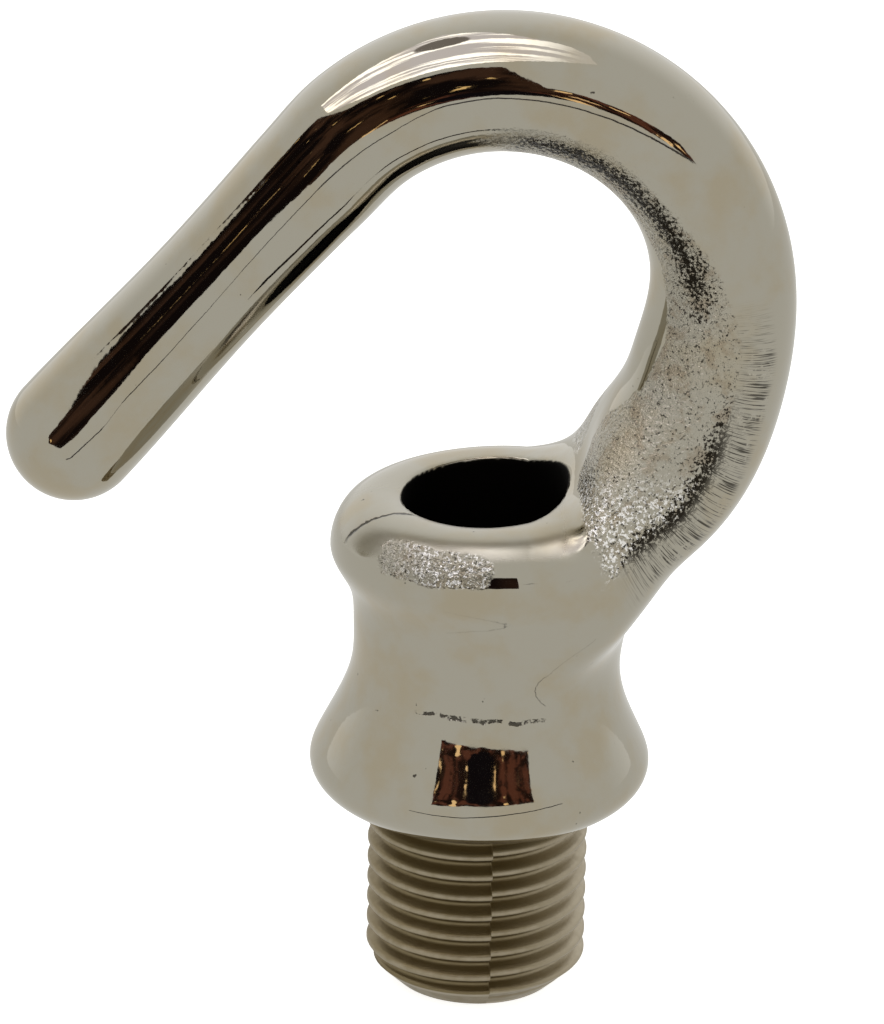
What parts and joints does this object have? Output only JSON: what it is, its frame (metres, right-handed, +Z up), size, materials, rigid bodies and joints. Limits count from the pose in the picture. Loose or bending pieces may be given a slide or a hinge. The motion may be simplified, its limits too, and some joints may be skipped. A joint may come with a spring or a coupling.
{
  "type": "threaded lamp hook",
  "caption": "One-piece cast hook with a hollow male thread: a lamp or pendant fitting screws on below, the wire passes up through the collar, and the bend hangs from a ring.",
  "frame": {"origin": "on the thread's axis, in the plane of the bell's seat where the thread begins", "axes": "+Z up the thread's axis towards the hook, +X towards the root of the hook, the hook's bend in the XZ plane with its tip towards -X"},
  "size_m": [0.035, 0.0154, 0.0459],
  "materials": {
    "nickel_plate": "polished nickel plate over a cast brass body, rougher as-cast skin inside the bend and dull in the thread"
  },
  "bodies": {
    "root": {"hook": "nickel_plate"}
  },
  "joints": []
}
